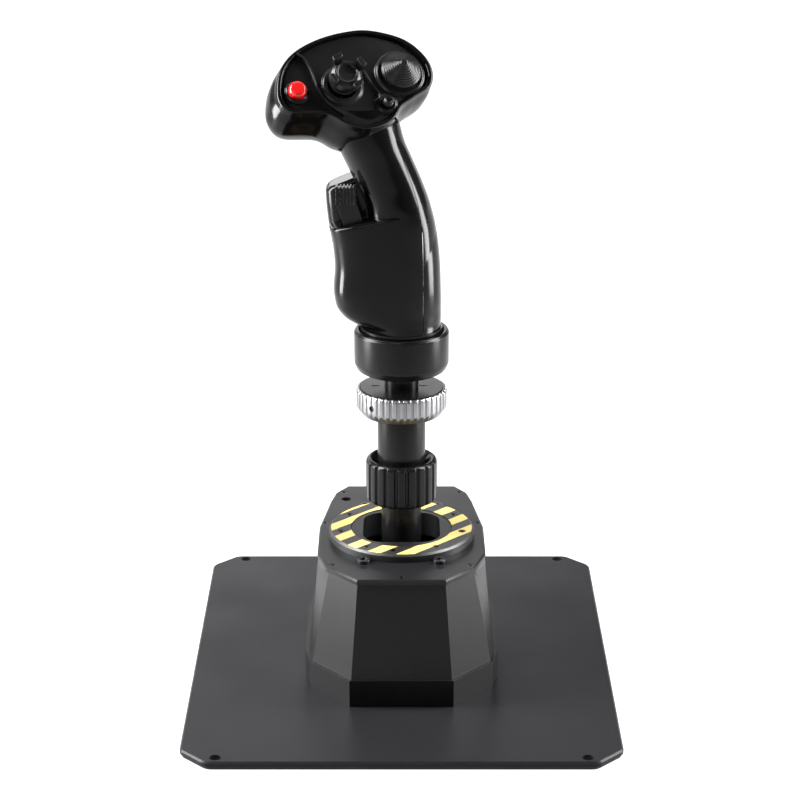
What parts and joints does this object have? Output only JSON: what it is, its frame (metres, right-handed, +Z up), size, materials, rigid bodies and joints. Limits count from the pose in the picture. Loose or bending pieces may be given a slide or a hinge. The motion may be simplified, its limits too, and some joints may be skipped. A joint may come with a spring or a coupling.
{
  "type": "flight joystick",
  "caption": "Desktop flight joystick: sprung two-axis base on a desk plate, extension tube and a screw-on grip with hats, buttons and trigger.",
  "frame": {"origin": "centre of the underside of the desk plate's anti-slip mat; the stick axis is the Z axis at rest", "axes": "+Z up, +Y away from the pilot, +X to the pilot's right"},
  "size_m": [0.25, 0.29, 0.3841],
  "materials": {
    "rubber_black": "matte",
    "plate_black": "satin powder coat",
    "housing_black": "satin anodised",
    "hazard_yellow": "satin with black stripes",
    "screw_black": "black oxide",
    "steel": "machined",
    "bearing_steel": "ground",
    "silver_ring": "machined, knurled",
    "black_metal": "semi-gloss",
    "grip_black": "gloss",
    "switch_black": "satin gloss",
    "button_red": "gloss",
    "board_green": "solder mask",
    "magnet_grey": "plated"
  },
  "bodies": {
    "base": {"anti_slip_mat": "rubber_black", "base_plate": "plate_black", "foot_band": "housing_black", "foot_screws": "screw_black", "housing_shell": "housing_black", "top_cover": "housing_black", "cover_screws": "screw_black", "stiffener_bars": "steel", "support_screws": "screw_black", "hazard_ring": "hazard_yellow", "ring_screws": "screw_black", "gate_plate": "housing_black", "usb_socket": "steel", "main_board": "board_green", "board_standoffs": "steel", "board_screws": "screw_black", "gimbal_cradle": "steel", "cradle_screws": "screw_black", "pitch_bearings": "bearing_steel", "pitch_springs": "steel", "pitch_sensor_board": "board_green"},
    "pitch_yoke": {"pitch_yoke": "steel", "pitch_magnet": "magnet_grey", "roll_bearings": "bearing_steel", "roll_springs": "steel", "roll_sensor_board": "board_green"},
    "stick": {"roll_block": "steel", "roll_magnet": "magnet_grey", "shaft": "black_metal", "shaft_bolt": "screw_black", "extension_tube": "black_metal", "coupling_head": "black_metal", "connector_stub": "black_metal", "grip_foot": "grip_black", "grip_left_shell": "grip_black", "grip_right_shell": "grip_black", "grip_screws": "screw_black", "grip_circuit_board": "board_green", "head_shell": "grip_black", "head_bezel": "grip_black", "switch_panel": "switch_black", "switch_trim_rings": "switch_black", "hat_switch_bodies": "switch_black", "plunger_switches": "switch_black", "lever_pins": "screw_black"},
    "locking_knob": {"locking_knob": "black_metal"},
    "lock_ring": {"lock_ring": "silver_ring", "lock_ring_screw": "screw_black"},
    "collar": {"collar": "black_metal"},
    "castle_cross": {"castle_cross": "switch_black"},
    "castle_hat": {"castle_hat": "switch_black"},
    "trim_cross": {"trim_cross": "switch_black"},
    "trim_hat": {"trim_hat": "switch_black"},
    "thumb_button": {"thumb_button": "button_red"},
    "small_button": {"small_button": "switch_black"},
    "trigger": {"trigger": "grip_black"},
    "paddle_lever": {"paddle_lever": "grip_black"},
    "selector_lever": {"selector_lever": "switch_black"},
    "pinky_button": {"pinky_button": "switch_black"}
  },
  "joints": [
    {"name": "pitch", "type": "hinge", "parent": "base", "child": "pitch_yoke", "pos_m": [0, 0, 0.05], "axis": [1, 0, 0], "range_deg": [-15, 15], "stiffness_Nm_per_rad": 8, "deforming": ["pitch_springs"]},
    {"name": "roll", "type": "hinge", "parent": "pitch_yoke", "child": "stick", "pos_m": [0, 0, 0.05], "axis": [0, 1, 0], "range_deg": [-15, 15], "stiffness_Nm_per_rad": 8, "deforming": ["roll_springs"]},
    {"name": "locking_knob_turn", "type": "hinge", "parent": "stick", "child": "locking_knob", "pos_m": [0, 0, 0.118], "axis": [0, 0, 1], "continuous": true},
    {"name": "lock_ring_turn", "type": "hinge", "parent": "stick", "child": "lock_ring", "pos_m": [0, 0, 0.168], "axis": [0, 0, 1], "continuous": true},
    {"name": "collar_turn", "type": "hinge", "parent": "stick", "child": "collar", "pos_m": [0, 0, 0.2], "axis": [0, 0, 1], "continuous": true},
    {"name": "castle_side", "type": "hinge", "parent": "stick", "child": "castle_cross", "pos_m": [-0.03471, -0.00321, 0.35241], "axis": [0.9432, 0.3223, 0.0801], "range_deg": [-8, 8], "stiffness_Nm_per_rad": 0.05},
    {"name": "castle_rise", "type": "hinge", "parent": "castle_cross", "child": "castle_hat", "pos_m": [-0.03471, -0.00321, 0.35241], "axis": [-0.2664, 0.5904, 0.7618], "range_deg": [-8, 8], "stiffness_Nm_per_rad": 0.05},
    {"name": "trim_side", "type": "hinge", "parent": "stick", "child": "trim_cross", "pos_m": [-0.00251, 0.00915, 0.35671], "axis": [0.9432, 0.3223, 0.0801], "range_deg": [-6, 6], "stiffness_Nm_per_rad": 0.05},
    {"name": "trim_rise", "type": "hinge", "parent": "trim_cross", "child": "trim_hat", "pos_m": [-0.00251, 0.00915, 0.35671], "axis": [-0.2664, 0.5904, 0.7618], "range_deg": [-6, 6], "stiffness_Nm_per_rad": 0.05},
    {"name": "thumb_button_press", "type": "slide", "parent": "stick", "child": "thumb_button", "axis": [-0.1983, 0.7399, -0.6428], "range_m": [0, 0.0016], "stiffness_N_per_m": 700},
    {"name": "small_button_press", "type": "slide", "parent": "stick", "child": "small_button", "axis": [-0.1983, 0.7399, -0.6428], "range_m": [0, 0.0012], "stiffness_N_per_m": 700},
    {"name": "trigger_pull", "type": "hinge", "parent": "stick", "child": "trigger", "pos_m": [-0.013, 0.017, 0.317], "axis": [-1, 0, 0], "range_deg": [0, 10], "stiffness_Nm_per_rad": 0.6},
    {"name": "paddle_squeeze", "type": "hinge", "parent": "stick", "child": "paddle_lever", "pos_m": [-0.006, 0.024, 0.271], "axis": [-1, 0, 0], "range_deg": [0, 7], "stiffness_Nm_per_rad": 0.6},
    {"name": "selector_rock", "type": "hinge", "parent": "stick", "child": "selector_lever", "pos_m": [-0.0272, -0.013, 0.27], "axis": [1, 0, 0], "range_deg": [-5, 5], "stiffness_Nm_per_rad": 0.4},
    {"name": "pinky_button_press", "type": "slide", "parent": "stick", "child": "pinky_button", "axis": [0, -1, 0], "range_m": [0, 0.0015], "stiffness_N_per_m": 600}
  ]
}
